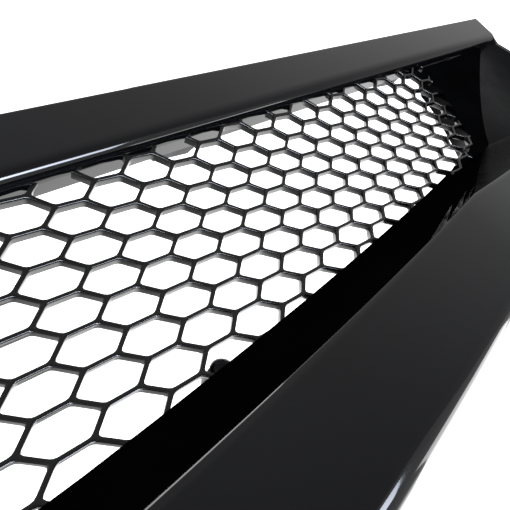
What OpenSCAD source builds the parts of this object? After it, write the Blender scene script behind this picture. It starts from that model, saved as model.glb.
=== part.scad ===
// Front grille: one moulded surround, a honeycomb insert and the hardware behind them.
// +X is the viewer's right, +Y runs back into the car, +Z is up.
// The origin is midway between the inner pair of tab holes, on the underside of the tabs.

/* [Surround] */
// Half of the width, at the top corners of the bar
half_width = 450; // [375:1:540]
// Height of the bar's flat front face
bar_height = 25; // [18:0.5:34]
// Height of the opening on the centre line
opening_height = 74; // [58:1:94]
// Half of the opening's width at its top
opening_half = 325; // [270:1:350]
// Rise of the bar for each millimetre outwards
vee = 0.0955; // [0.05:0.0005:0.13]
// Wall thickness of the moulding
wall = 2.4; // [2:0.1:3]
// Distance from the bar's front face back to the tab holes
bar_setback = 24; // [20:1:32]
// Depth of the ceiling, from the lip back to the end panel
ceiling_depth = 7.4; // [5:0.1:11]
// How far the chin's rim stands in front of the bar
chin_lead = 18.6; // [12:0.1:26]
// Height of the chin's front face
chin_height = 33; // [24:1:44]
// Drop of the lower wall from the opening down to the chin's rim
rim_drop = 13.2; // [9:0.1:18]
// Half width at which the chin's rim turns into the end scoop
kink_half = 207; // [170:1:235]
// Depth of the return flange along the top
top_return = 17; // [12:0.5:19]
// Depth of the return flange under the chin
chin_return = 22; // [14:0.5:24]
// Rounding of the bar's lower lip
lip_round = 6; // [1.5:0.1:6.5]
// Rounding of the bar's upper edge
top_round = 2.4; // [1.2:0.1:4]
// Rounding under the chin
chin_round = 7; // [3:0.5:9]

/* [Honeycomb] */
// Distance between neighbouring columns of cells
cell_pitch = 14.4; // [12:0.1:18]
// Distance between neighbouring rows of cells
row_pitch = 10.34; // [8.6:0.01:12.5]
// Share of the column pitch taken by a cell's level edge
level_share = 0.61; // [0.5:0.01:0.68]
// Width of one strand
strand = 1.2; // [1:0.1:2]
// Thickness of the honeycomb sheet
mesh_thick = 2.6; // [1.6:0.1:3]
// Gap between the sheet and the surround
mesh_gap = 0.4; // [0.3:0.1:1]
// How far the sheet reaches down behind the lower wall
mesh_margin = 9; // [7:0.5:11]

/* [Fixings] */
// Half distance between the inner tab holes
tab_inner = 150; // [120:1:180]
// Half distance between the outer tab holes
tab_outer = 340; // [300:1:370]
// Radius of the hole through a tab sleeve
sleeve_bore = 3.3; // [2.6:0.1:4.3]
// Radius of the outside of a tab sleeve
sleeve_outer = 5; // [4.4:0.1:6]
// Thickness of the tabs and rails
rail_thick = 3; // [2.4:0.1:4]
// Half distance between the domed screws that show below the honeycomb
dome_half = 97; // [80:1:120]
// Radius of a domed screw head
dome_radius = 3.7; // [3:0.1:4.5]
// Radius of every small self-tapping screw
screw_radius = 1.6; // [1.2:0.1:2]
// Gap round a screw and between pieces that only touch
fit_gap = 0.05; // [0.02:0.01:0.1]
// Radius of the end brackets' bolt holes
end_hole = 3.3; // [2.6:0.1:4.3]
// Height between the end brackets' bolt holes
end_hole_pitch = 36; // [30:1:40]
// Radius of a locating peg
peg_radius = 4; // [3:0.1:5]
// Free length of a locating peg
peg_length = 14; // [10:0.5:20]

/* [Hidden] */
$fn = 36;

vee_angle = atan(vee);
centre_blend = 60;
face_y = -bar_setback;
in_y = face_y + ceiling_depth;
rim_y = face_y - chin_lead;
chin_rake = 3.4;
chin_y = rim_y - chin_rake;
side_lean = 8;
crown_z = -7.7;
sill_slope = 0.0697;
sill_bend = 0.000227;
sill_lead = 4.8;
top_flange = 3.3;
side_flange = 11.6;
flange_top_y = in_y + top_flange;
flange_side_y = in_y + side_flange;
mesh_seat = 0.2;
mesh_y = in_y + mesh_seat;
mesh_back_y = mesh_y + mesh_thick;

// |x|, rounded off round the centre line
function soft(x) = abs(x) >= centre_blend ? abs(x) : x * x / (2 * centre_blend) + centre_blend / 2;
function bar_top(x) = crown_z + vee * soft(x);
function lip(x) = bar_top(x) - bar_height;
function sill(x) = lip(0) - opening_height + sill_slope * soft(x) + sill_bend * x * x
                   - sill_slope * centre_blend / 2;
function rim(x) = sill(x) - rim_drop;
function chin_low(x) = rim(x) - chin_height;

function mix(a, b, t) = a + (b - a) * t;
function clamp01(t) = max(0, min(1, t));
function unit(v) = norm(v) < 1e-9 ? v : v / norm(v);
// a quadratic curve that leaves a towards c and reaches b from c
function arc_point(a, c, b, t) = (1 - t) * (1 - t) * a + 2 * t * (1 - t) * c + t * t * b;
// point at share t of the length of a path
function lengths(p) =
    [for (i = 0, s = 0; i < len(p); i = i + 1, s = s + (i < len(p) ? norm(p[i] - p[i - 1]) : 0)) s];
function along_from(p, s, d, i) = i >= len(p) - 2 || s[i + 1] >= d
    ? mix(p[i], p[i + 1], clamp01((d - s[i]) / max(1e-9, s[i + 1] - s[i])))
    : along_from(p, s, d, i + 1);
function along(p, t) = let (s = lengths(p)) along_from(p, s, t * s[len(s) - 1], 0);
// a path with each inner corner cut back by its own length and rounded
function rounded(p, cuts, n = 6) = concat(
    [p[0]],
    [for (i = [1 : len(p) - 2])
        let (a = p[i] + unit(p[i - 1] - p[i]) * cuts[i - 1],
             b = p[i] + unit(p[i + 1] - p[i]) * cuts[i - 1])
            for (k = [0 : n]) arc_point(a, p[i], b, k / n)],
    [p[len(p) - 1]]);

// ---- Surround: rings of stations round the opening, right half ----
// A station is [inner edge, inner y, flange rear y, crease, rim, outer edge,
//               return depth, rim round, outer round, hollow]
top_end = opening_half - 6;
ceiling_end = half_width - 22;
lip_end = half_width - 4;
corner_low = [opening_half - 25, sill(opening_half - 25)];
side_path = rounded([[top_end, lip(top_end)], [opening_half, lip(opening_half)],
                     [opening_half - 3, lip(opening_half) - 22], [opening_half - 17, corner_low[1] + 15]],
                    [6, 11]);
sill_end = corner_low[0] - 18;
low_corner_path = rounded([side_path[len(side_path) - 1], corner_low, [sill_end, sill(sill_end)]], [16], 9);
scoop_foot = [opening_half - 13, in_y, corner_low[1] - 3];
scoop_head = [ceiling_end, in_y, lip(ceiling_end)];
foot_inner = [opening_half - 29, in_y - 1, corner_low[1] - 6.5];
edge_top = [lip_end + 0.3, face_y + 3.5, lip(lip_end) - 3.5];
edge_low = [half_width + side_lean - 4.5, rim_y + 13, edge_top[2] - 78];
kink = [kink_half, rim_y, rim(kink_half)];
rim_end = edge_low + [-3, -0.5, -3.5];
chin_end = [rim_end[0] - 4, rim_end[1] - 3, rim_end[2] - 27];
// from the scoop's front edge out to the bumper line
edge_lap = [4.5, -0.5, 0];
low_outer_path = rounded([edge_low + edge_lap, [edge_low[0] + 3, chin_end[1], chin_end[2] + 2], chin_end],
                         [12], 6);

function scoop_crease(t) = arc_point(scoop_head, [opening_half + 11, in_y, corner_low[1] + 21],
                                     scoop_foot, t);
function rim_right(t) = arc_point(rim_end, [mix(kink_half, rim_end[0], 0.45), mix(rim_y, rim_end[1], 0.45),
                                            kink[2] + 4.5], kink, t);
function chin_right(t) = arc_point(
    chin_end,
    [mix(kink_half, chin_end[0], 0.45), mix(chin_y, chin_end[1], 0.4),
     mix(chin_low(kink_half), chin_end[2], 0.52)],
    [kink_half, chin_y, chin_low(kink_half)], t);

// depth of the return flange behind the scoop, and the roundings of its edge and of the rim
end_return = 14;
edge_round = 1.8;
rim_round = 1.6;
// depth to which the scoop is dished
scoop_hollow = 5;
// how far the crease moves along under the scoop's foot, and the opening's share that it spans
foot_shift = [-1, 0, -0.3];
fan_share = 0.1;

top_n = 14;
corner_n = 6;
side_n = 9;
fan_n = 5;
chin_n = 10;
sill_n = 15;
right_stations = concat(
    [for (k = [0 : top_n]) let (x = top_end * k / top_n)
        [[x, lip(x)], in_y, flange_top_y, [x, in_y - 0.8, lip(x)], [x, face_y, lip(x)],
         [x, face_y, bar_top(x)], top_return, lip_round, top_round, 0]],
    [for (k = [1 : corner_n]) let (t = k / corner_n, xc = mix(top_end, ceiling_end, t),
                                  xl = mix(top_end, lip_end, t), xo = mix(top_end, half_width, t))
        [along(side_path, 0.3 * t), in_y, mix(flange_top_y, flange_side_y, t), [xc, in_y, lip(xc)],
         [xl, face_y, lip(xl)], [xo, face_y, bar_top(xo)], top_return, lip_round, top_round, 0]],
    [for (k = [0 : side_n]) let (t = k / side_n, r = mix(edge_top, edge_low, t))
        [along(side_path, mix(0.34, 1, t)), in_y, flange_side_y, scoop_crease(mix(0.03, 1, t)), r,
         r + edge_lap, mix(15, end_return, t), 1.5, edge_round, scoop_hollow * sin(180 * t)]],
    [for (k = [1 : fan_n]) let (t = k / fan_n)
        [along(low_corner_path, fan_share * t), in_y, flange_side_y, scoop_foot + foot_shift * t,
         mix(edge_low, rim_end, t), along(low_outer_path, t),
         end_return, rim_round, mix(edge_round, 4, t), 0]],
    [for (k = [1 : chin_n]) let (t = k / chin_n)
        [along(low_corner_path, mix(fan_share, 1, t)), in_y,
         mix(flange_side_y, in_y - sill_lead + wall, pow(t, 3)),
         mix(scoop_foot + foot_shift, foot_inner, t), rim_right(t), chin_right(t),
         mix(end_return, chin_return, t), rim_round, mix(4, chin_round, t), 0]],
    [for (k = [1 : sill_n]) let (t = k / sill_n, x = sill_end * (1 - t), xr = kink_half * (1 - t),
                                lead = sill_lead * clamp01(3 * t), i = [x, sill(x)])
        [i, in_y - lead, in_y - lead + wall - 0.2,
         mix([x, in_y - lead - 0.8, sill(x) - 0.5], foot_inner, clamp01(1 - 4 * t)), [xr, rim_y, rim(xr)],
         [xr, chin_y, chin_low(xr)], chin_return, rim_round, chin_round, 0]]);

// Corner points of a station's section, before its edges are rounded.
// keep is the length left free at the rim.
hollow_n = 4;
function section(st, keep) = let (last = 1 - min(0.9, keep / norm(st[4] - st[3]))) concat(
    [[st[0][0], st[2], st[0][1]], [st[0][0], st[1], st[0][1]]],
    [for (k = [1 : hollow_n]) mix([st[0][0], st[1], st[0][1]], st[3], k / hollow_n)],
    [for (k = [1 : hollow_n]) let (t = last * k / hollow_n)
        mix(st[3], st[4], t) + [0, st[9] * sin(180 * t), 0]],
    [st[4], st[5], st[5] + [0, st[6], 0]]);
rim_at = 2 * hollow_n + 2;
function cut_back(a, b, r, share) = unit(b - a) * min(r, share * norm(b - a));
round_n = 5;
// The show surface of a station: its section with the rim and the outer edge rounded
function show_side(s, st) = let (a = s[rim_at - 1], r = s[rim_at], o = s[rim_at + 1], e = s[rim_at + 2])
    concat([for (k = [0 : rim_at - 1]) s[k]],
           [for (k = [0 : round_n])
               arc_point(r + cut_back(r, a, st[7], 0.95), r, r + cut_back(r, o, st[7], 0.4), k / round_n)],
           [for (k = [0 : round_n])
               arc_point(o + cut_back(o, r, st[8], 0.45), o, o + cut_back(o, e, st[8], 0.45), k / round_n)],
           [e]);
// The hidden surface: the section moved in by the wall thickness
function hidden_point(prev, here, next, ring, t) =
    let (n1 = unit(cross(here - prev, ring)), n2 = unit(cross(next - here, ring)), m = n1 + n2)
    here + m * 2 * t / max(1.15, m * m);
function hidden_side(s, ring, t) = let (n = len(s) - 1)
    [for (k = [0 : n]) hidden_point(k == 0 ? 2 * s[0] - s[1] : s[k - 1], s[k],
                                    k == n ? 2 * s[n] - s[n - 1] : s[k + 1], ring[k], t)];

function flip(v) = [-v[0], v[1], v[2]];
right_n = len(right_stations);
right_sections = [for (st = right_stations) section(st, max(st[7], 1.3 * wall))];
// the stations beyond both ends of the right half are mirror images
function section_at(i) = i < 0 ? [for (v = right_sections[1]) flip(v)]
    : i >= right_n ? [for (v = right_sections[right_n - 2]) flip(v)] : right_sections[i];
function ring_at(i) = let (a = section_at(i - 1), b = section_at(i + 1))
    [for (k = [0 : len(a) - 1]) b[k] - a[k]];
function reversed(l) = [for (k = [len(l) - 1 : -1 : 0]) l[k]];
right_rings = [for (i = [0 : right_n - 1])
    let (st = right_stations[i])
        concat(show_side(section(st, st[7]), st),
               reversed(hidden_side(right_sections[i], ring_at(i), wall)))];
rings = concat(right_rings, [for (i = [right_n - 2 : -1 : 1]) [for (v = right_rings[i]) flip(v)]]);

// A closed solid skinned over rings of points, joined end to end
module skinned(rs) {
    n = len(rs[0]);
    m = len(rs);
    polyhedron(points = [for (r = rs) for (v = r) v],
               faces = [for (i = [0 : m - 1]) for (k = [0 : n - 1])
                   let (next = (i + 1) % m, a = i * n + k, b = i * n + (k + 1) % n,
                        c = next * n + (k + 1) % n, d = next * n + k)
                       each [[a, b, c], [a, c, d]]]);
}

module surround() {
    color([0.03, 0.03, 0.032]) skinned(rings);
}

// ---- Honeycomb ----
// The hole of one cell: a level-edged hexagon, drawn in by half a strand
module cell_hole(shrink = strand / 2) {
    tip = cell_pitch * (2 - level_share) / 2;
    level = cell_pitch * level_share / 2;
    half = row_pitch / 2;
    tip_in = tip - shrink * norm([tip - level, half]) / half;
    level_in = tip_in - (tip - level) * (half - shrink) / half;
    polygon([[tip_in, 0], [level_in, half - shrink], [-level_in, half - shrink],
             [-tip_in, 0], [-level_in, shrink - half], [level_in, shrink - half]]);
}

mesh_side = [for (k = [0 : 24]) along(concat(side_path, low_corner_path), k / 24)];
mesh_foot_x = sill_end - 18;
// Outline of the sheet: inside the flange at the top and the ends, down behind the lower wall at the foot
mesh_right = concat(
    [for (x = [0 : 10 : top_end - 4]) [x, lip(x) - mesh_gap]],
    [for (p = mesh_side) if (p[0] > sill_end + 1)
        [p[0] - mesh_gap, p[1] - mesh_gap * (p[1] > -20 ? 1 : -1)]],
    [[mesh_foot_x + 4, sill(mesh_foot_x) + 2.5]],
    [for (k = [0 : 12]) let (x = mesh_foot_x * (1 - k / 12)) [x, sill(x) - mesh_margin]]);
mesh_loop = concat(mesh_right, reversed([for (p = mesh_right) if (p[0] > 0) [-p[0], p[1]]]));
// width of the strand that runs round the sheet's edge
edge_strand = 1;
// A closed outline moved in by d
function inset(loop, d) = let (n = len(loop)) [for (k = [0 : n - 1])
    let (a = loop[(k + n - 1) % n], b = loop[(k + 1) % n], t = unit(b - a)) loop[k] + d * [t[1], -t[0]]];

column_n = ceil(opening_half / cell_pitch);
row_low = floor((sill(0) - mesh_margin) / row_pitch) - 1;
row_high = ceil(lip(opening_half) / row_pitch) + 1;
// height of the middle of row 0
row_start = -7.41;

// Turns a drawing in X and Y to stand upright, its thickness running back from y
module upright(y, thick) {
    translate([0, y + thick, 0]) rotate([90, 0, 0]) linear_extrude(thick) children();
}

// Screws that hold the sheet: two that show at the foot of the opening, the rest behind the lower wall
hidden_drop = 7.5;
ear_r = 3.4;
mesh_screw_right = [[dome_half, sill(dome_half) - 0.3],
                    for (x = [1.96, 2.45] * dome_half) [x, sill(x) - hidden_drop]];
mesh_screw_at = concat([[0, sill(0) - hidden_drop]], mesh_screw_right,
                       [for (p = mesh_screw_right) [-p[0], p[1]]]);

module mesh_panel() {
    color([0.05, 0.05, 0.055]) upright(mesh_y, mesh_thick) difference() {
        polygon(mesh_loop);
        difference() {
            intersection() {
                polygon(inset(mesh_loop, edge_strand));
                for (m = [-column_n : column_n])
                    for (n = [row_low : row_high])
                        translate([m * cell_pitch, (n + (m % 2 == 0 ? 0 : 0.5)) * row_pitch + row_start])
                            cell_hole();
            }
            for (p = mesh_screw_at) translate(p) circle(r = ear_r);
        }
        for (p = mesh_screw_at) translate(p) circle(r = screw_radius + fit_gap);
    }
}

// ---- Small parts used in several places, each along +Y from its seat ----
module along_y() {
    rotate([-90, 0, 0]) children();
}

module both_sides() {
    children();
    mirror([1, 0, 0]) children();
}

head_h = 2.5;
head_dome = 5.2;
slot_long = 3.2;
slot_wide = 0.7;
slot_deep = 1.4;
screw_len = 11;
// A pan-headed self-tapping screw: the head stands behind y = 0 and the shank runs forward
module rear_screw(len = screw_len) {
    along_y() {
        translate([0, 0, -len]) cylinder(r = screw_radius, h = len);
        difference() {
            rotate_extrude() intersection() {
                square([2.2 * screw_radius, head_h]);
                translate([0, head_h - head_dome]) circle(r = head_dome, $fn = 64);
            }
            for (a = [0, 90]) rotate([0, 0, a])
                translate([-slot_long / 2, -slot_wide / 2, head_h - slot_deep])
                    cube([slot_long, slot_wide, 2]);
        }
    }
}

// A round screw tower from y = 0 back to its seat, with a pilot bore
tower_r = 4;
tower_floor = 1;
// the hole that a screw passes through is wider than the screw by this on each side
hole_ease = 0.4;
module tower(len) {
    along_y() difference() {
        cylinder(r = tower_r, h = len);
        translate([0, 0, tower_floor]) cylinder(r = screw_radius + fit_gap, h = len);
    }
}

// ---- Mesh carrier and its screws, behind the lower wall ----
carrier_y = mesh_back_y;
carrier_half = sill_end - 22;
carrier_high = 3.6;
carrier_low = 13;
carrier_thick = 3.5;
gusset_at = [0.45 * dome_half, 1.5 * dome_half, 2.2 * dome_half];
gusset_w = 12;
gusset_reach = 9.6;
gusset_ease = 2.2;
wall_slope = rim_drop / (in_y - sill_lead - rim_y);
wall_back = wall * sqrt(1 + wall_slope * wall_slope) + 0.5;

module at_mesh_screws() {
    for (p = mesh_screw_at) translate([p[0], 0, p[1]]) children();
}

carrier_steps = [for (k = [0 : 16]) carrier_half * k / 16];
carrier_right = concat([for (x = carrier_steps) [x, sill(x) - carrier_high]],
                       [for (x = reversed(carrier_steps)) [x, sill(x) - carrier_low]]);
module carrier_strip() {
    both_sides() polygon(carrier_right);
}
// The gusset reaches forward under the sheet's margin and stops just short of the lower wall
module gusset(x) {
    back = in_y - sill_lead - 0.4;
    front = back - gusset_reach;
    top = -mesh_margin - 1.4;
    foot = -carrier_low - 3;
    slope_top = -wall_back - gusset_ease;
    translate([x - gusset_w / 2, 0, sill(x)]) rotate([90, 0, 90]) linear_extrude(gusset_w)
        polygon([[carrier_y + 0.5, -carrier_low], [carrier_y + 0.5, top], [mesh_y - gusset_ease, top],
                 [back, slope_top], [front, slope_top - gusset_reach * wall_slope], [front, foot],
                 [carrier_y, foot]]);
}
module mesh_carrier() {
    color([0.06, 0.06, 0.06]) difference() {
        union() {
            upright(carrier_y, carrier_thick) carrier_strip();
            both_sides() for (x = gusset_at) gusset(x);
            translate([0, carrier_y, 0]) at_mesh_screws() along_y() cylinder(r = ear_r, h = carrier_thick + 3);
        }
        translate([0, carrier_y - 1, 0]) at_mesh_screws()
            along_y() cylinder(r = screw_radius + fit_gap, h = carrier_thick + 10);
    }
}

// A round-headed screw that clamps the sheet from the front
dome_h = 2.6;
dome_ball = 3.93;
module dome_screw() {
    len = mesh_thick + carrier_thick + 2;
    along_y() {
        cylinder(r = screw_radius, h = len);
        translate([0, 0, -dome_h]) rotate_extrude() intersection() {
            square([dome_radius, dome_h]);
            translate([0, dome_ball]) circle(r = dome_ball, $fn = 64);
        }
    }
}
module mesh_screws() {
    color([0.08, 0.08, 0.085]) translate([0, mesh_y, 0]) at_mesh_screws() dome_screw();
}

// ---- Spring clips that hold the sheet's top edge to the ceiling flange ----
clip_at = 36;
clip_w = 12;
clip_t = 0.6;
clip_low = -5.2;
clip_hook = 2.2;
clip_press = 3;
clip_lean = 0.6 * vee_angle;
module mesh_top_clips() {
    y = flange_top_y + fit_gap;
    y_press = mesh_back_y + fit_gap;
    high = wall + clip_t;
    color([0.55, 0.55, 0.57]) both_sides()
        translate([clip_at - clip_w / 2, 0, lip(clip_at)]) rotate([0, -clip_lean, 0]) {
            translate([0, y - clip_hook, high]) cube([clip_w, clip_hook + clip_t, clip_t]);
            translate([0, y, clip_low]) cube([clip_w, clip_t, high + clip_t - clip_low]);
            translate([0, y_press, clip_low]) cube([clip_w, y + clip_t - y_press, clip_t]);
            translate([0, y_press, clip_low]) cube([clip_w, clip_t, clip_press]);
        }
}

// ---- Upper rails, behind the bar ----
tower_at = [92, 206, 300, 398];
tower_drop = bar_height / 2;
rail_setback = 15;
rail_y = face_y + rail_setback;
rail_from = 64;
rail_to = 414;
rail_h = 13;
// Places its children on the bar's right half: X along the bar from the point above x, Z square to it
module on_bar(x) {
    translate([x, 0, bar_top(x)]) rotate([0, -vee_angle, 0]) children();
}
module bar_screw_towers() {
    color([0.05, 0.05, 0.052]) both_sides() for (x = tower_at)
        on_bar(x) translate([0, face_y + wall, -tower_drop]) tower(rail_y - face_y - wall);
}
tab_w = 30;
tab_nose = 8;
rib_t = 2.4;
rib_drop = 9.5;
tab_cut = 6;
tab_at = [[tab_inner, 0], [tab_outer, bar_top(tab_outer) - bar_top(tab_inner)]];
module tab_places() {
    for (p = tab_at) translate([p[0], 0, p[1]]) children();
}
// The rail's flat outline in X and Z, with a riser under each tab
module rail_outline() {
    translate([rail_from, bar_top(rail_from)]) rotate(vee_angle) translate([0, -tower_drop - rail_h / 2])
        square([(rail_to - rail_from) / cos(vee_angle), rail_h]);
    for (p = tab_at) translate([p[0] - tab_w / 2, p[1] - rib_drop]) square([tab_w, rib_drop + rail_thick]);
}
// A tab that runs back from the rail, with two ribs underneath
module rail_tab() {
    reach = bar_setback - rail_setback;
    linear_extrude(rail_thick)
        polygon([[-tab_w / 2, 1 - reach], [tab_w / 2, 1 - reach], [tab_w / 2, tab_nose],
                 [tab_w / 2 - tab_cut, tab_nose + tab_cut], [tab_cut - tab_w / 2, tab_nose + tab_cut],
                 [-tab_w / 2, tab_nose]]);
    for (s = [-1, 1]) translate([s * (tab_w / 2 - rib_t) - rib_t / 2, 1 - reach, -rib_drop])
        rotate([90, 0, 90]) linear_extrude(rib_t)
            polygon([[0, 1], [0, rib_drop + 1], [rib_drop, rib_drop + 1], [rib_drop, rib_drop - 2]]);
}
module upper_rail() {
    difference() {
        union() {
            upright(rail_y, rail_thick) rail_outline();
            tab_places() rail_tab();
        }
        tab_places() translate([0, 0, -1]) cylinder(r = sleeve_outer + fit_gap, h = rail_thick + 2);
        // room for the surround's top flange
        on_bar(rail_from) translate([0, face_y, -wall - fit_gap])
            cube([half_width, top_return + fit_gap, 2 * rail_thick]);
        for (x = tower_at) on_bar(x) translate([0, rail_y - 1, -tower_drop])
            along_y() cylinder(r = screw_radius + hole_ease, h = rail_thick + 2);
    }
}
module upper_rail_right() {
    color([0.09, 0.09, 0.09]) upper_rail();
}
module upper_rail_left() {
    color([0.09, 0.09, 0.09]) mirror([1, 0, 0]) upper_rail();
}
module upper_rail_screws() {
    color([0.5, 0.5, 0.52]) both_sides() for (x = tower_at)
        on_bar(x) translate([0, rail_y + rail_thick, -tower_drop]) rear_screw();
}
module tab_sleeves() {
    color([0.7, 0.7, 0.72]) both_sides() tab_places() difference() {
        cylinder(r = sleeve_outer, h = rail_thick);
        translate([0, 0, -1]) cylinder(r = sleeve_bore, h = rail_thick + 2);
    }
}

// ---- End brackets, behind the scoops ----
end_tower_at = [[opening_half + 20, lip(opening_half) - 13], [opening_half + 58, lip(opening_half) - 8]];
end_y = flange_side_y + 1;
end_bolt_x = half_width - 34;
end_bolt_z = lip(opening_half) - 6;
// the peg's spigot is thinner than its body by this on each side
peg_neck = 1;
module end_towers() {
    for (p = end_tower_at) translate([p[0], in_y + wall, p[1]]) tower(end_y - in_y - wall);
}
module end_screw_towers() {
    color([0.05, 0.05, 0.052]) both_sides() end_towers();
}
peg_out = 16;
stiffener_h = 4;
module end_bracket() {
    high = end_hole_pitch / 2;
    difference() {
        union() {
            upright(end_y, rail_thick) difference() {
                hull() {
                    for (p = end_tower_at) translate(p) circle(r = 8);
                    for (s = [-1, 1]) translate([end_bolt_x, end_bolt_z + s * high]) circle(r = 9);
                    translate([end_bolt_x + peg_out, end_bolt_z]) circle(r = 8);
                }
                translate([end_tower_at[1][0] + 17, end_bolt_z - 2]) circle(r = 6);
            }
            translate([end_tower_at[0][0] - 4, end_y + rail_thick - 0.01, end_tower_at[0][1] + 1.6])
                cube([end_bolt_x - end_tower_at[0][0] - 14, stiffener_h, 2]);
        }
        translate([0, end_y - 1, 0]) {
            for (p = end_tower_at) translate([p[0], 0, p[1]]) along_y() {
                cylinder(r = screw_radius + hole_ease, h = rail_thick + 8);
                translate([0, 0, 1 + rail_thick]) cylinder(r = 5, h = 8);
            }
            for (s = [-1, 1]) translate([end_bolt_x, 0, end_bolt_z + s * high])
                along_y() cylinder(r = end_hole, h = rail_thick + 2);
            translate([end_bolt_x + peg_out, 0, end_bolt_z])
                along_y() cylinder(r = peg_radius - peg_neck + fit_gap, h = rail_thick + 2);
        }
    }
}
module end_bracket_right() {
    color([0.09, 0.09, 0.09]) end_bracket();
}
module end_bracket_left() {
    color([0.09, 0.09, 0.09]) mirror([1, 0, 0]) end_bracket();
}
module end_bracket_screws() {
    color([0.5, 0.5, 0.52]) both_sides() for (p = end_tower_at)
        translate([p[0], end_y + rail_thick, p[1]]) rear_screw(rail_thick + 6);
}
// A peg with a bullet nose, pressed into the bracket by its spigot
module locating_peg() {
    translate([end_bolt_x + peg_out, end_y, end_bolt_z]) along_y() {
        cylinder(r = peg_radius - peg_neck, h = rail_thick);
        translate([0, 0, rail_thick]) rotate_extrude()
            polygon([[0, 0], [peg_radius + 2, 0], [peg_radius + 2, 1.6], [peg_radius, 1.6],
                     [peg_radius, peg_length - 3], [peg_radius - 2, peg_length], [0, peg_length]]);
    }
}
module locating_peg_right() {
    color([0.75, 0.75, 0.72]) locating_peg();
}
module locating_peg_left() {
    color([0.75, 0.75, 0.72]) mirror([1, 0, 0]) locating_peg();
}

// ---- Chin rails, inside the chin ----
chin_at = [78, 184];
chin_mid = (chin_at[0] + chin_at[1]) / 2;
chin_rise = (chin_low(chin_at[1]) - chin_low(chin_at[0])) / (chin_at[1] - chin_at[0]);
chin_tower_up = 15;
chin_rail_y = chin_y + 17;
blade_at = [chin_mid - 27, chin_mid + 27];
blade_l = 16;
blade_w = 14;
clip_rise = 3.6;
function chin_line(x) = chin_low(chin_at[0]) + chin_rise * (x - chin_at[0]) + chin_tower_up;
chin_face_lean = (rim_y - chin_y) / chin_height;
module chin_towers() {
    for (x = chin_at) difference() {
        translate([x, chin_y - 2, chin_line(x)]) tower(chin_rail_y - chin_y + 2);
        // everything in front of the chin's inner face
        translate([x, chin_y + wall + 0.35, chin_low(x)]) rotate([-atan(chin_face_lean), 0, 0])
            translate([-10, -20, -40]) cube([20, 20, 100]);
    }
}
module chin_screw_towers() {
    color([0.05, 0.05, 0.052]) both_sides() chin_towers();
}
module on_chin(x) {
    translate([x, 0, chin_line(x)]) rotate([0, -atan(chin_rise), 0]) children();
}
module chin_rail() {
    difference() {
        union() {
            on_chin(chin_at[0] - 10) translate([0, chin_rail_y, -6])
                cube([(chin_at[1] - chin_at[0] + 20) / cos(atan(chin_rise)), rail_thick, 12]);
            for (x = blade_at) on_chin(x)
                translate([-blade_w / 2, chin_rail_y, -1]) cube([blade_w, rail_thick + blade_l, 2]);
        }
        for (x = chin_at) on_chin(x) translate([0, chin_rail_y - 1, 0])
            along_y() cylinder(r = screw_radius + hole_ease, h = rail_thick + 2);
    }
}
module chin_rail_right() {
    color([0.09, 0.09, 0.09]) chin_rail();
}
module chin_rail_left() {
    color([0.09, 0.09, 0.09]) mirror([1, 0, 0]) chin_rail();
}
module chin_rail_screws() {
    color([0.5, 0.5, 0.52]) both_sides() for (x = chin_at)
        on_chin(x) translate([0, chin_rail_y + rail_thick, 0]) rear_screw();
}
// A folded spring-steel clip pushed over a blade of the chin rail
module bumper_clip() {
    leaf = 0.5;
    tip = blade_l + 0.1;
    rotate([90, 0, 90]) translate([0, 0, -5]) linear_extrude(10) {
        for (s = [-1, 1]) scale([1, s])
            polygon([[tip, 0], [tip + leaf, 0], [tip + leaf, 1 + leaf + fit_gap],
                     [tip - 3, 1 + leaf + fit_gap], [5, clip_rise], [1.6, clip_rise], [1.6, clip_rise - leaf],
                     [4.8, clip_rise - leaf], [tip - 4, 1 + fit_gap], [tip, 1 + fit_gap]]);
    }
}
module bumper_clips() {
    color([0.6, 0.6, 0.62]) both_sides() for (x = blade_at)
        on_chin(x) translate([0, chin_rail_y + rail_thick, 0]) bumper_clip();
}

// ---- Soft strips ----
seal_w = 8;
seal_t = 3;
pad_size = [2.5, 8, 30];
// Foam tape stuck under the chin's return flange
module chin_seal() {
    y0 = chin_y + chin_return - seal_w - 1;
    edge = [for (k = [0 : 12]) let (x = (kink_half - 8) * k / 12) [x, chin_low(x) - 0.1]];
    color([0.12, 0.12, 0.12]) upright(y0, seal_w)
        both_sides() polygon(concat(edge, [for (p = reversed(edge)) [p[0], p[1] - seal_t]]));
}
// Rubber pads on the outside of the end returns
module end_pads() {
    lean = atan((edge_low[0] - edge_top[0]) / (edge_top[2] - edge_low[2]));
    color([0.12, 0.12, 0.12]) both_sides()
        translate(mix(edge_top, edge_low, 0.5) + [edge_lap[0] + 0.15, 5, 0])
            rotate([0, -lean, 0]) translate([0, 0, -pad_size[2] / 2]) cube(pad_size);
}

surround();
mesh_panel();
mesh_carrier();
mesh_screws();
mesh_top_clips();
bar_screw_towers();
upper_rail_left();
upper_rail_right();
upper_rail_screws();
tab_sleeves();
end_screw_towers();
end_bracket_left();
end_bracket_right();
end_bracket_screws();
locating_peg_left();
locating_peg_right();
chin_screw_towers();
chin_rail_left();
chin_rail_right();
chin_rail_screws();
bumper_clips();
chin_seal();
end_pads();
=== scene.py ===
"""Front grille: gloss-black moulded surround, black honeycomb insert and the hardware behind."""
import math

import bmesh
import bpy
from mathutils import Matrix, Vector


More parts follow.
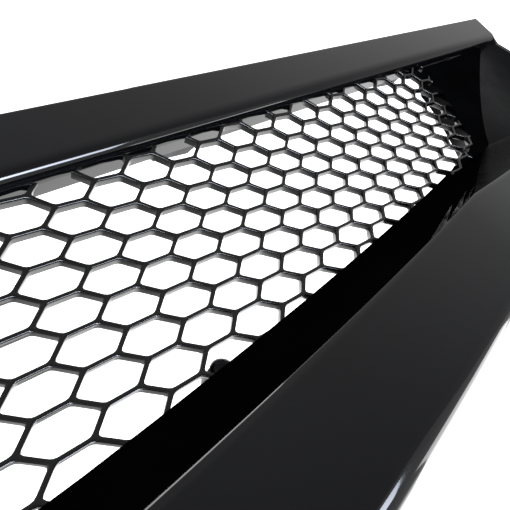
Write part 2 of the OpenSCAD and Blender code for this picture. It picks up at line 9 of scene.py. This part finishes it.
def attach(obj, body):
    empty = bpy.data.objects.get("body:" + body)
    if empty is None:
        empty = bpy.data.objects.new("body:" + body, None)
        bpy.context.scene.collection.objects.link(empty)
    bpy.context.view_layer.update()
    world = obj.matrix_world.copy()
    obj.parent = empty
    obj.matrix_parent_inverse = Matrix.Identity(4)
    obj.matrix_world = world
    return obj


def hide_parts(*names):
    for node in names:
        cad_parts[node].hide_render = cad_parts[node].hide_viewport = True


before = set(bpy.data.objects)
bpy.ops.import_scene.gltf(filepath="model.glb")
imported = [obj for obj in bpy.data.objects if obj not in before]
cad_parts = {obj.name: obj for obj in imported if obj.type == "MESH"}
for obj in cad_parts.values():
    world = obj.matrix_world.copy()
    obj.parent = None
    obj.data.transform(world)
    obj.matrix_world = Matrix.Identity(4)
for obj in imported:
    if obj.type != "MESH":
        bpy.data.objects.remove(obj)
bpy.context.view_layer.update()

MM = 0.001
BODY = "root"


# ---- Camera: close to the grille's middle, low, turned and rolled to its right-hand end ----
CAMERA_PLACE = Vector((40.40, -126.37, -115.14)) * MM
CAMERA_HEADING = math.radians(39.031)
CAMERA_TILT = math.radians(17.301)
CAMERA_ROLL = math.radians(37.562)
CAMERA_LENS = 32.57


def make_camera():
    data = bpy.data.cameras.new("camera")
    data.lens = CAMERA_LENS
    data.sensor_width = 36
    data.clip_start = 1 * MM
    camera = bpy.data.objects.new("camera", data)
    bpy.context.collection.objects.link(camera)
    level = Vector((math.cos(CAMERA_HEADING), -math.sin(CAMERA_HEADING), 0))
    ahead = Vector((math.sin(CAMERA_HEADING) * math.cos(CAMERA_TILT),
                    math.cos(CAMERA_HEADING) * math.cos(CAMERA_TILT),
                    math.sin(CAMERA_TILT)))
    above = level.cross(ahead)
    right = level * math.cos(CAMERA_ROLL) - above * math.sin(CAMERA_ROLL)
    turn = Matrix((right, right.cross(ahead), -ahead)).transposed()
    camera.matrix_world = Matrix.Translation(CAMERA_PLACE) @ turn.to_4x4()
    bpy.context.scene.camera = camera


# ---- Materials ----
def linear(hex_colour):
    """An sRGB hex colour as linear RGBA."""
    channels = [int(hex_colour[i:i + 2], 16) / 255 for i in (1, 3, 5)]
    return [c / 12.92 if c <= 0.04045 else ((c + 0.055) / 1.055) ** 2.4 for c in channels] + [1.0]


def add_node(material, kind, settings=None, links=None):
    """Adds a shader node, with its values by input or property name and its links by input."""
    node = material.node_tree.nodes.new(kind)
    for name, value in (settings or {}).items():
        if isinstance(name, int) or name in node.inputs:
            node.inputs[name].default_value = value
        else:
            setattr(node, name, value)
    for name, source in (links or {}).items():
        material.node_tree.links.new(source, node.inputs[name])
    return node


def new_material(name, settings):
    """An empty material with a Principled shader that holds the uniform values."""
    material = bpy.data.materials.new(name)
    material.use_nodes = True
    shader = material.node_tree.nodes["Principled BSDF"]
    for key, value in settings.items():
        shader.inputs[key].default_value = value
    return material, shader


def per_size(size_mm):
    """The scale at which a pattern's features are about size_mm apart."""
    return 1 / (size_mm * MM)


def colour_field(material, shader, place, low, high, size_mm, spread=(0.35, 0.65)):
    """Lets the base colour drift between two tones over patches of size_mm."""
    noise = add_node(material, "ShaderNodeTexNoise", {"Scale": per_size(size_mm), "Detail": 3.0},
                     {"Vector": place})
    ramp = add_node(material, "ShaderNodeValToRGB", links={"Fac": noise.outputs["Fac"]})
    ramp.color_ramp.elements[0].position, ramp.color_ramp.elements[1].position = spread
    ramp.color_ramp.elements[0].color = linear(low)
    ramp.color_ramp.elements[1].color = linear(high)
    material.node_tree.links.new(ramp.outputs["Color"], shader.inputs["Base Color"])


def roughness_field(material, shader, place, low, high, size_mm):
    """Lets the roughness drift between two values over patches of size_mm."""
    noise = add_node(material, "ShaderNodeTexNoise", {"Scale": per_size(size_mm), "Detail": 4.0},
                     {"Vector": place})
    spread = add_node(material, "ShaderNodeMapRange",
                      {"From Min": 0.3, "From Max": 0.7, "To Min": low, "To Max": high},
                      {"Value": noise.outputs["Fac"]})
    material.node_tree.links.new(spread.outputs["Result"], shader.inputs["Roughness"])


def relief(material, shader, height, depth_mm, strength, below=None):
    """Adds bump from a height output; below is an earlier bump to build on."""
    links = {"Height": height}
    if below:
        links["Normal"] = below.outputs["Normal"]
    bump = add_node(material, "ShaderNodeBump", {"Strength": strength, "Distance": depth_mm * MM}, links)
    material.node_tree.links.new(bump.outputs["Normal"], shader.inputs["Normal"])
    return bump


def object_place(material):
    return add_node(material, "ShaderNodeTexCoord").outputs["Object"]


def gloss_black_abs():
    # ABS, injection moulded and lacquered in gloss black: deep black under a mirror-like skin that
    # is very slightly wavy, with faint handling haze
    material, shader = new_material("gloss_lacquered_black_abs",
                                    {"IOR": 1.5, "Coat Weight": 0.12, "Coat Roughness": 0.02,
                                     "Coat IOR": 1.5})
    place = object_place(material)
    colour_field(material, shader, place, "#050506", "#08080A", 60)
    roughness_field(material, shader, place, 0.045, 0.085, 9)
    flow = add_node(material, "ShaderNodeTexNoise", {"Scale": per_size(14), "Detail": 1.0},
                    {"Vector": place})
    waves = relief(material, shader, flow.outputs["Fac"], 0.03, 0.35)
    peel = add_node(material, "ShaderNodeTexNoise", {"Scale": per_size(1.6), "Detail": 2.0},
                    {"Vector": place})
    relief(material, shader, peel.outputs["Fac"], 0.004, 0.18, waves)
    return material


def painted_shade_black():
    # the deep wall round the honeycomb, and the honeycomb's own strand sides where they rise outwards:
    # painted shade.
    # These faces get a black with no specular, so they stay a flat black whatever the light
    material, shader = new_material("unreflective_black_painted_shade", {"IOR": 1.5, "Specular IOR Level": 0.0})
    place = object_place(material)
    colour_field(material, shader, place, "#030303", "#050506", 25)
    roughness_field(material, shader, place, 0.6, 0.75, 8)
    etch = add_node(material, "ShaderNodeTexNoise", {"Scale": per_size(0.5), "Detail": 3.0},
                    {"Vector": place})
    relief(material, shader, etch.outputs["Fac"], 0.03, 0.2)
    return material


def scoop_painted_shade():
    # the same ABS in the end scoops and on the flange behind them, with painted shade: its specular is
    # almost turned off, a darker, softer satin than the flat faces
    material, shader = new_material("dim_satin_black_painted_shade", {"IOR": 1.5, "Specular IOR Level": 0.02})
    place = object_place(material)
    colour_field(material, shader, place, "#050506", "#09090B", 40)
    roughness_field(material, shader, place, 0.2, 0.32, 12)
    peel = add_node(material, "ShaderNodeTexNoise", {"Scale": per_size(2), "Detail": 2.0},
                    {"Vector": place})
    relief(material, shader, peel.outputs["Fac"], 0.006, 0.2)
    return material


def black_honeycomb():
    # polypropylene, moulded in one honeycomb sheet: satin black strands with small flow ripples
    material, shader = new_material("satin_moulded_black_polypropylene",
                                    {"IOR": 1.55, "Coat Weight": 0.1, "Coat Roughness": 0.06})
    place = object_place(material)
    colour_field(material, shader, place, "#020202", "#040405", 7)
    roughness_field(material, shader, place, 0.1, 0.22, 6)
    ripple = add_node(material, "ShaderNodeTexNoise", {"Scale": per_size(5), "Detail": 2.0},
                      {"Vector": place})
    relief(material, shader, ripple.outputs["Fac"], 0.05, 0.35)
    return material


def grained_plastic(name, low, high, grain_mm, rough):
    """A filled plastic moulded against spark-eroded steel: matt, with a fine even grain."""
    material, shader = new_material(name, {"IOR": 1.5})
    place = object_place(material)
    colour_field(material, shader, place, low, high, 18)
    roughness_field(material, shader, place, rough - 0.07, rough + 0.08, 5)
    grain = add_node(material, "ShaderNodeTexNoise", {"Scale": per_size(grain_mm), "Detail": 4.0},
                     {"Vector": place})
    pits = add_node(material, "ShaderNodeTexVoronoi", {"Scale": per_size(grain_mm * 3)}, {"Vector": place})
    base = relief(material, shader, grain.outputs["Fac"], 0.12, 0.45)
    relief(material, shader, pits.outputs["Distance"], 0.05, 0.2, base)
    return material


def brushed_metal(name, low, high, rough, grain_mm, stretch):
    """Plated or rolled steel: fine lines along one way and small tone changes in the finish."""
    material, shader = new_material(name, {"Metallic": 1.0})
    place = object_place(material)
    colour_field(material, shader, place, low, high, 6, (0.3, 0.7))
    roughness_field(material, shader, place, rough - 0.08, rough + 0.1, 3)
    along = add_node(material, "ShaderNodeMapping", {"Scale": stretch}, {"Vector": place})
    lines = add_node(material, "ShaderNodeTexNoise", {"Scale": per_size(grain_mm), "Detail": 3.0},
                     {"Vector": along.outputs["Vector"]})
    relief(material, shader, lines.outputs["Fac"], 0.02, 0.3)
    return material


def natural_nylon():
    # unfilled nylon, moulded: milky, slightly translucent and waxy
    material, shader = new_material("moulded_natural_nylon",
                                    {"IOR": 1.53, "Subsurface Weight": 0.25, "Subsurface Scale": 1.5 * MM})
    place = object_place(material)
    colour_field(material, shader, place, "#D6D2C2", "#E4E1D3", 8)
    roughness_field(material, shader, place, 0.32, 0.48, 4)
    flow = add_node(material, "ShaderNodeTexNoise", {"Scale": per_size(3), "Detail": 2.0},
                    {"Vector": place})
    relief(material, shader, flow.outputs["Fac"], 0.05, 0.25)
    return material


def closed_cell_foam():
    # closed-cell foam tape, skived: dull black with open pores about a millimetre across
    material, shader = new_material("skived_black_foam", {"IOR": 1.4, "Sheen Weight": 0.2})
    place = object_place(material)
    colour_field(material, shader, place, "#101011", "#1C1C1E", 4)
    roughness_field(material, shader, place, 0.86, 0.97, 6)
    pores = add_node(material, "ShaderNodeTexVoronoi", {"Scale": per_size(1.1)}, {"Vector": place})
    relief(material, shader, pores.outputs["Distance"], 0.5, 0.8)
    return material


def soft_rubber():
    # EPDM rubber, pressed: dark grey-black with a chalky bloom
    material, shader = new_material("pressed_black_rubber", {"IOR": 1.52})
    place = object_place(material)
    colour_field(material, shader, place, "#121213", "#232325", 10)
    roughness_field(material, shader, place, 0.62, 0.82, 5)
    skin = add_node(material, "ShaderNodeTexNoise", {"Scale": per_size(0.8), "Detail": 5.0},
                    {"Vector": place})
    relief(material, shader, skin.outputs["Fac"], 0.1, 0.5)
    return material


# painted shade: the unreflective black for the recess wall and the rising strand sides
PAINTED_SHADE_BLACK = painted_shade_black()
FINISHES = {
    "gloss_black_abs": gloss_black_abs(),
    "mesh_black": black_honeycomb(),
    "black_plastic": grained_plastic("moulded_black_abs", "#0C0C0D", "#151516", 0.5, 0.42),
    "rail_plastic": grained_plastic("glass_filled_black_nylon", "#161617", "#232325", 0.7, 0.5),
    "black_screw": brushed_metal("black_zinc_plated_steel", "#1A1A1C", "#2A2A2D", 0.34, 0.6, (1, 1, 4)),
    "spring_steel": brushed_metal("phosphated_spring_steel", "#6E6C69", "#8C8A86", 0.36, 0.35, (1, 6, 1)),
    "zinc_steel": brushed_metal("zinc_plated_steel", "#A9AAA6", "#C8C9C6", 0.3, 0.5, (5, 1, 1)),
    "natural_nylon": natural_nylon(),
    "black_foam": closed_cell_foam(),
    "black_rubber": soft_rubber(),
}
NODE_SLOTS = {
    "surround": "gloss_black_abs",
    "mesh_panel": "mesh_black",
    "mesh_carrier": "black_plastic",
    "mesh_screws": "black_screw",
    "mesh_top_clips": "spring_steel",
    "bar_screw_towers": "black_plastic",
    "upper_rail_left": "rail_plastic",
    "upper_rail_right": "rail_plastic",
    "upper_rail_screws": "zinc_steel",
    "tab_sleeves": "zinc_steel",
    "end_screw_towers": "black_plastic",
    "end_bracket_left": "rail_plastic",
    "end_bracket_right": "rail_plastic",
    "end_bracket_screws": "zinc_steel",
    "locating_peg_left": "natural_nylon",
    "locating_peg_right": "natural_nylon",
    "chin_screw_towers": "black_plastic",
    "chin_rail_left": "rail_plastic",
    "chin_rail_right": "rail_plastic",
    "chin_rail_screws": "zinc_steel",
    "bumper_clips": "spring_steel",
    "chin_seal": "black_foam",
    "end_pads": "black_rubber",
}


# ---- Finishing the pieces ----
def link_piece(name, mesh, node):
    """Makes mesh a piece that rides with the body and stands for a CAD node."""
    piece = bpy.data.objects.new(name, mesh)
    bpy.context.collection.objects.link(piece)
    slot = NODE_SLOTS[node]
    mesh.materials.clear()
    mesh.materials.append(FINISHES[slot])
    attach(piece, BODY)
    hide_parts(node)
    return piece


def welded_mesh(node, name, sharp):
    """A copy of a node's mesh with its seams joined, smooth but for edges sharper than sharp."""
    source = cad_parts[node].data
    mesh = bpy.data.meshes.new(name)
    mesh.from_pydata([v.co[:] for v in source.vertices], [], [p.vertices[:] for p in source.polygons])
    form = bmesh.new()
    form.from_mesh(mesh)
    bmesh.ops.remove_doubles(form, verts=form.verts, dist=0.002 * MM)
    bmesh.ops.recalc_face_normals(form, faces=form.faces)
    bmesh.ops.join_triangles(form, faces=form.faces, angle_face_threshold=math.radians(8),
                             angle_shape_threshold=math.radians(50))
    for face in form.faces:
        face.smooth = True
    for edge in form.edges:
        edge.smooth = len(edge.link_faces) == 2 and edge.calc_face_angle(math.pi) < sharp
    form.to_mesh(mesh)
    form.free()
    return mesh


def soften(node, width_mm=0.25):
    """Gives a CAD node its finish and the small broken edges of a moulded or pressed piece."""
    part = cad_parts[node]
    part.data.materials.clear()
    part.data.materials.append(FINISHES[NODE_SLOTS[node]])
    weld = part.modifiers.new("weld", "WELD")
    weld.merge_threshold = 0.002 * MM
    bevel = part.modifiers.new("broken_edges", "BEVEL")
    bevel.width = width_mm * MM
    bevel.segments = 2
    bevel.limit_method = "ANGLE"
    bevel.angle_limit = math.radians(38)
    bevel.use_clamp_overlap = True


# ---- Surround ----
# its finishes, in the order of its material slots: the faces, the recess and the end scoops; the recess and
# scoop finishes are painted shade
GLOSS, MATT, SATIN = range(3)
# points of the recess, in X and Z: the turn and the end of the chin's rim, the top and foot of its outer
# edge, and the ends and middle control of the crease across the end scoop
KINK = Vector((207, -94.2))
RIM_END = Vector((450, -75))
EDGE_TOP = Vector((446.3, 6.4))
EDGE_LOW = Vector((453.5, -71.6))
CREASE = (Vector((428, 8.2)), Vector((336, -43.6)), Vector((312, -67.6)))
CREASE_STEPS = 16
# the rim lies this far under the sill inside the kink, and first rises by this much outside it
RIM_DROP = 13.2
RIM_RISE = 4.5
# the bar's lip and the opening's sill, as in the CAD
CROWN_LIP_Z = -32.7
VEE = 0.0955
SILL_Z = -105.93
SILL_SLOPE = 0.0697
SILL_BEND = 0.000227
CENTRE_BLEND = 60
# the end flanges lie behind this Y and reach this far over the lip's line. They look to the middle: their
# normal's X times their own X is under this
FLANGE_Y = -17
FLANGE_RISE = 1
LOOKS_IN = -100
# faces whose normal has more Y than this turn away from the front
BACK_TURN = -0.15
# how far the gloss reaches round the rim, the lip and the outer edge into the recess
RIM_GLOSS = 1.3
LIP_GLOSS = 0.5
SIDE_GLOSS = 1


def blended(x):
    """|x|, rounded off round the centre line."""
    return abs(x) if abs(x) >= CENTRE_BLEND else x * x / (2 * CENTRE_BLEND) + CENTRE_BLEND / 2


def sill_height(x):
    return SILL_Z + SILL_SLOPE * blended(x) + SILL_BEND * x * x


def lip_height(x):
    return CROWN_LIP_Z + VEE * blended(x)


def rim_height(x):
    """Height of the chin's rim outside the kink."""
    share = max(0, min(1, (x - KINK.x) / (RIM_END.x - KINK.x)))
    middle = KINK.y + RIM_RISE
    return (1 - share) ** 2 * KINK.y + 2 * share * (1 - share) * middle + share ** 2 * RIM_END.y


def inside(point, outline):
    """Whether a point lies inside a closed outline."""
    crossings = 0
    for a, b in zip(outline, outline[1:] + outline[:1]):
        if (a.y > point.y) != (b.y > point.y):
            crossings += point.x < a.x + (point.y - a.y) * (b.x - a.x) / (b.y - a.y)
    return crossings % 2 == 1


def beyond_crease():
    """Outline of all that lies outside the crease, from the bar's end down to the kink."""
    head, middle, foot = CREASE
    curve = [head * (1 - t) ** 2 + 2 * middle * t * (1 - t) + foot * t * t
             for t in (i / CREASE_STEPS for i in range(CREASE_STEPS + 1))]
    # closed well outside the grille
    return curve + [KINK, Vector((KINK.x, -200)), Vector((500, -200)), Vector((500, 60))]


def zone(face, scoop):
    """Finish of one face of the surround: the matt recess and the satin scoops and flanges are painted
    shade.
    """
    centre = face.calc_center_median() / MM
    x = abs(centre.x)
    lip = lip_height(x)
    rim = rim_height(x) if x > KINK.x else sill_height(x) - RIM_DROP
    down = (EDGE_TOP.y - centre.z) / (EDGE_TOP.y - EDGE_LOW.y)
    side = EDGE_TOP.x + (EDGE_LOW.x - EDGE_TOP.x) * down
    if centre.y > FLANGE_Y and face.normal.x * centre.x < LOOKS_IN and centre.z < lip + FLANGE_RISE:
        return SATIN
    in_recess = rim + RIM_GLOSS < centre.z < lip - LIP_GLOSS and x <= side - SIDE_GLOSS
    if face.normal.y > BACK_TURN or not in_recess:
        return GLOSS
    return SATIN if inside(Vector((x, centre.z)), scoop) else MATT


def make_surround():
    skin = welded_mesh("surround", "surround_skin", sharp=math.radians(32))
    piece = link_piece("surround_skin", skin, "surround")
    # painted shade on the recess wall
    piece.data.materials.append(PAINTED_SHADE_BLACK)
    # painted shade on the end scoops and the flanges behind them
    piece.data.materials.append(scoop_painted_shade())
    form = bmesh.new()
    form.from_mesh(piece.data)
    scoop = beyond_crease()
    for face in form.faces:
        face.material_index = zone(face, scoop)
    form.to_mesh(piece.data)
    form.free()
    even = piece.modifiers.new("even_shading", "WEIGHTED_NORMAL")
    even.keep_sharp = True
    even.weight = 80


# ---- Honeycomb ----
CELL_PITCH = 14.4
ROW_PITCH = 10.34
LEVEL_SHARE = 0.61
ROW_START = -7.41
STRAND_WIDE = 1.3
STRAND_DEEP = 3.0
CORNER_ROUND = 1.0
# half of a strand's section, from its front ridge to its back ridge: shares of half width and half depth
STRAND_SECTION = ((0, -1), (0.6, -0.99), (0.92, -0.88), (1, -0.6),
                  (0.97, 0.6), (0.85, 0.9), (0.5, 1), (0, 1))
# the way that the sides of the strands which rise outwards face, and how near a face has to be to it;
# those sides are given the unreflective black as painted shade
RISING_SIDE = Vector((0.68, 0, -0.73))
SIDE_MATCH = 0.7
SHEET_MIDDLE_Y = -13.6
SHEET_BOW = 4.2


def hexagon(inset):
    """Corners of one cell, drawn in by inset."""
    tip = CELL_PITCH * (2 - LEVEL_SHARE) / 2
    level = CELL_PITCH * LEVEL_SHARE / 2
    half = ROW_PITCH / 2
    tip_in = tip - inset * math.hypot(tip - level, half) / half
    level_in = tip_in - (tip - level) * (half - inset) / half
    rise = half - inset
    return [Vector(p) for p in ((tip_in, 0), (level_in, rise), (-level_in, rise),
                                (-tip_in, 0), (-level_in, -rise), (level_in, -rise))]


def rounded_ring(corners, cut):
    """Three points round each corner of a hexagon."""
    ring = []
    for i, corner in enumerate(corners):
        before = corner + (corners[i - 1] - corner).normalized() * cut
        after = corner + (corners[(i + 1) % 6] - corner).normalized() * cut
        ring += [before, (before + 2 * corner + after) / 4, after]
    return ring


def bow(x, z):
    """Middle of the sheet's thickness: it stands back in the middle of the opening."""
    top = lip_height(x)
    foot = sill_height(x)
    share = (z - (top + foot) / 2) / ((top - foot) / 2)
    return SHEET_MIDDLE_Y - SHEET_BOW * min(1, share * share)


def right_outline(node):
    """Convex outline, in X and Z, of the right half of a node."""
    points = sorted({(round(v.co.x / MM, 2), round(v.co.z / MM, 2))
                     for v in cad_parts[node].data.vertices if v.co.x >= 0})
    chains = []
    for run in (points, points[::-1]):
        chain = []
        for p in run:
            while len(chain) > 1 and ((chain[-1][0] - chain[-2][0]) * (p[1] - chain[-2][1])
                                      - (chain[-1][1] - chain[-2][1]) * (p[0] - chain[-2][0])) <= 0:
                chain.pop()
            chain.append(p)
        chains += chain[:-1]
    return [Vector(p) for p in chains]


def add_cell(form, centre):
    """One cell's share of the strands round it: rings from the front ridge to the back ridge."""
    rings = []
    for across, through in STRAND_SECTION:
        inset = across * STRAND_WIDE / 2
        flat = rounded_ring(hexagon(inset), CORNER_ROUND * across) if across else hexagon(0)
        rings.append([form.verts.new((p.x * MM, through * STRAND_DEEP / 2 * MM, p.y * MM))
                      for p in (q + centre for q in flat)])
    for near, far in zip(rings[1:-2], rings[2:-1]):
        for i in range(18):
            j = (i + 1) % 18
            form.faces.new((near[i], near[j], far[j], far[i]))
    for ridge, ring, front in ((rings[0], rings[1], True), (rings[-1], rings[-2], False)):
        for i in range(6):
            nearest = [ring[3 * i], ring[3 * i + 1], ring[3 * i + 2], ring[(3 * i + 3) % 18]]
            for a, b in zip(nearest[:2], nearest[1:3]):
                form.faces.new((ridge[i], b, a) if front else (ridge[i], a, b))
            side = (ridge[i], ridge[(i + 1) % 6], nearest[3], nearest[2])
            form.faces.new(side if front else side[::-1])


def trim(form, outline):
    """Cuts the strands off outside the outline and closes their ends."""
    for a, b in zip(outline, outline[1:] + outline[:1]):
        if max(a.x, b.x) < 1:
            continue
        out = Vector((b.y - a.y, 0, a.x - b.x)).normalized()
        point = Vector((a.x, 0, a.y)) * MM
        every = form.verts[:] + form.edges[:] + form.faces[:]
        bmesh.ops.bisect_plane(form, geom=every, dist=0.0005 * MM, plane_co=point, plane_no=out,
                               clear_outer=True)
        ends = [e for e in form.edges if e.is_boundary
                and all(abs((v.co - point).dot(out)) < 0.002 * MM for v in e.verts)]
        bmesh.ops.holes_fill(form, edges=ends, sides=0)


def make_honeycomb():
    outline = right_outline("mesh_panel")
    reach = max(p.x for p in outline)
    high = max(p.y for p in outline)
    low = min(p.y for p in outline)
    form = bmesh.new()
    for column in range(int(reach / CELL_PITCH) + 2):
        for row in range(int(low / ROW_PITCH) - 2, int(high / ROW_PITCH) + 3):
            centre = Vector((column * CELL_PITCH, (row + 0.5 * (column % 2)) * ROW_PITCH + ROW_START))
            if sill_height(centre.x) - 2 * ROW_PITCH < centre.y < lip_height(centre.x) + ROW_PITCH:
                add_cell(form, centre)
    bmesh.ops.remove_doubles(form, verts=form.verts, dist=0.01 * MM)
    every = form.verts[:] + form.edges[:] + form.faces[:]
    bmesh.ops.bisect_plane(form, geom=every, dist=0.0005 * MM, plane_co=(0, 0, 0), plane_no=(-1, 0, 0),
                           clear_outer=True)
    trim(form, outline)
    for v in form.verts:
        v.co.y += bow(v.co.x / MM, v.co.z / MM) * MM
    bmesh.ops.recalc_face_normals(form, faces=form.faces)
    for face in form.faces:
        face.smooth = True
        # painted shade: the strand sides facing the rising way take the unreflective black
        face.material_index = int(abs(face.normal.dot(RISING_SIDE)) > SIDE_MATCH)
    for edge in form.edges:
        edge.smooth = len(edge.link_faces) == 2 and edge.calc_face_angle(math.pi) < math.radians(50)
    mesh = bpy.data.meshes.new("honeycomb")
    form.to_mesh(mesh)
    form.free()
    piece = link_piece("honeycomb", mesh, "mesh_panel")
    # painted shade for the strand sides that rise outwards
    piece.data.materials.append(PAINTED_SHADE_BLACK)
    mirror = piece.modifiers.new("left_half", "MIRROR")
    mirror.use_mirror_merge = True
    mirror.merge_threshold = 0.01 * MM


# ---- Stage: pale floor, pale surroundings and soft lights ----
FLOOR_Z = -0.62
FLOOR_HALF = 1.25
# the way from the grille to the middle of the bright backdrop
BRIGHT_SIDE = (0.653, 0.757, 0)
BRIGHT_LEVEL = 2.3
EDGE_SOFTNESS = 0.08


def facing_backdrop(owner, place):
    """How squarely a direction, or a place on the floor, faces the bright backdrop: -1 to 1."""
    level_way = add_node(owner, "ShaderNodeVectorMath", {"operation": "MULTIPLY", 1: (1, 1, 0)}, {0: place})
    unit_way = add_node(owner, "ShaderNodeVectorMath", {"operation": "NORMALIZE"},
                        {0: level_way.outputs["Vector"]})
    facing = add_node(owner, "ShaderNodeVectorMath", {"operation": "DOT_PRODUCT", 1: BRIGHT_SIDE},
                      {0: unit_way.outputs["Vector"]})
    return facing.outputs["Value"]


def make_floor():
    form = bmesh.new()
    corners = [form.verts.new((x * FLOOR_HALF, y * FLOOR_HALF, FLOOR_Z))
               for x, y in ((-1, -1), (1, -1), (1, 1), (-1, 1))]
    form.faces.new(corners)
    mesh = bpy.data.meshes.new("floor")
    form.to_mesh(mesh)
    form.free()
    material, shader = new_material("white_paper_painted_glow", {"Base Color": linear("#B4B4B4"), "Roughness": 0.9,
                                                         "Emission Color": linear("#FFFFFF")})
    place = object_place(material)
    # painted light: the paper glows on the backdrop's side, and the glow fades out under the grille as
    # painted shade
    flat = add_node(material, "ShaderNodeVectorMath", {"operation": "MULTIPLY", 1: (1, 1, 0)}, {0: place})
    distance = add_node(material, "ShaderNodeVectorMath", {"operation": "LENGTH"},
                        {0: flat.outputs["Vector"]})
    fade = add_node(material, "ShaderNodeMapRange",
                    {"interpolation_type": "SMOOTHSTEP", "From Min": 0.1, "From Max": 0.7,
                     "To Max": BRIGHT_LEVEL},
                    {"Value": distance.outputs["Value"]})
    share = add_node(material, "ShaderNodeMapRange",
                     {"interpolation_type": "SMOOTHSTEP", "From Min": 0.5, "From Max": 1.0},
                     {"Value": facing_backdrop(material, place)})
    glow = add_node(material, "ShaderNodeMath", {"operation": "MULTIPLY"},
                    {0: fade.outputs["Result"], 1: share.outputs["Result"]})
    material.node_tree.links.new(glow.outputs["Value"], shader.inputs["Emission Strength"])
    fibre = add_node(material, "ShaderNodeTexNoise", {"Scale": per_size(3), "Detail": 3.0},
                     {"Vector": place})
    relief(material, shader, fibre.outputs["Fac"], 0.1, 0.1)
    mesh.materials.append(material)
    floor = bpy.data.objects.new("floor", mesh)
    bpy.context.collection.objects.link(floor)


def make_surroundings():
    """A pale studio, brightest behind the grille's right half and dim in front, where its gloss looks."""
    world = bpy.data.worlds.new("studio")
    bpy.context.scene.world = world
    world.use_nodes = True
    place = add_node(world, "ShaderNodeTexCoord").outputs["Generated"]
    axes = add_node(world, "ShaderNodeSeparateXYZ", links={"Vector": place})
    # the dim part: brighter upwards, to the right, and towards the left and the rear
    height = add_node(world, "ShaderNodeMapRange",
                      {"From Min": -0.05, "From Max": 0.5, "To Min": 0.15, "To Max": 0.36},
                      {"Value": axes.outputs["Z"]})
    sideways = add_node(world, "ShaderNodeMapRange",
                        {"From Min": 0.2, "From Max": 1.0, "To Max": 0.2}, {"Value": axes.outputs["X"]})
    far_side = add_node(world, "ShaderNodeMapRange",
                        {"interpolation_type": "SMOOTHSTEP", "From Min": -0.1, "From Max": -0.7,
                         "To Max": 0.5},
                        {"Value": axes.outputs["X"]})
    rear = add_node(world, "ShaderNodeMapRange",
                    {"interpolation_type": "SMOOTHSTEP", "From Min": 0.3, "From Max": 0.8,
                     "To Max": 0.45},
                    {"Value": axes.outputs["Y"]})
    up_and_right = add_node(world, "ShaderNodeMath", {"operation": "ADD"},
                            {0: height.outputs["Result"], 1: sideways.outputs["Result"]})
    left_and_rear = add_node(world, "ShaderNodeMath", {"operation": "ADD"},
                             {0: far_side.outputs["Result"], 1: rear.outputs["Result"]})
    dim = add_node(world, "ShaderNodeMath", {"operation": "ADD"},
                   {0: up_and_right.outputs["Value"], 1: left_and_rear.outputs["Value"]})
    # the backdrop is wider above the horizon than below it
    edge = add_node(world, "ShaderNodeMapRange",
                    {"From Min": -0.15, "From Max": 0.1, "To Min": 0.84, "To Max": 0.7},
                    {"Value": axes.outputs["Z"]})
    past_edge = add_node(world, "ShaderNodeMath", {"operation": "SUBTRACT"},
                         {0: facing_backdrop(world, place), 1: edge.outputs["Result"]})
    share = add_node(world, "ShaderNodeMapRange",
                     {"interpolation_type": "SMOOTHSTEP", "From Min": 0.0, "From Max": EDGE_SOFTNESS},
                     {"Value": past_edge.outputs["Value"]})
    level = add_node(world, "ShaderNodeMix", {"data_type": "FLOAT", 3: BRIGHT_LEVEL},
                     {0: share.outputs["Result"], 2: dim.outputs["Value"]})
    background = world.node_tree.nodes["Background"]
    world.node_tree.links.new(level.outputs[0], background.inputs["Strength"])
    background.inputs["Color"].default_value = linear("#FFFFFF")


def soft_light(name, place, aim, size, power, colour="#FFFFFF", spread=180):
    data = bpy.data.lights.new(name, "AREA")
    data.shape = "RECTANGLE"
    data.size, data.size_y = size
    data.energy = power
    data.color = linear(colour)[:3]
    data.spread = math.radians(spread)
    light = bpy.data.objects.new(name, data)
    bpy.context.collection.objects.link(light)
    light.location = place
    light.rotation_mode = "QUATERNION"
    light.rotation_quaternion = (Vector(aim) - Vector(place)).to_track_quat("-Z", "Y")
    light.visible_camera = False


make_camera()
for name in NODE_SLOTS:
    if name not in ("surround", "mesh_panel"):
        soften(name)
make_surround()
make_honeycomb()
make_floor()
make_surroundings()
soft_light("low_front_softbox", (0.2, -0.66, -0.55), (0.1, 0, -0.05), (0.84, 0.22), 3.6, "#E6EEFF", 80)
soft_light("low_side_softbox", (0.8, 0.0, -0.6), (0.8, 0.0, 0), (0.5, 0.5), 3.2)
soft_light("top_softbox", (0, 0.2, 1.3), (0, 0, 0), (1.6, 0.8), 14)

bpy.context.scene.view_settings.view_transform = "Standard"
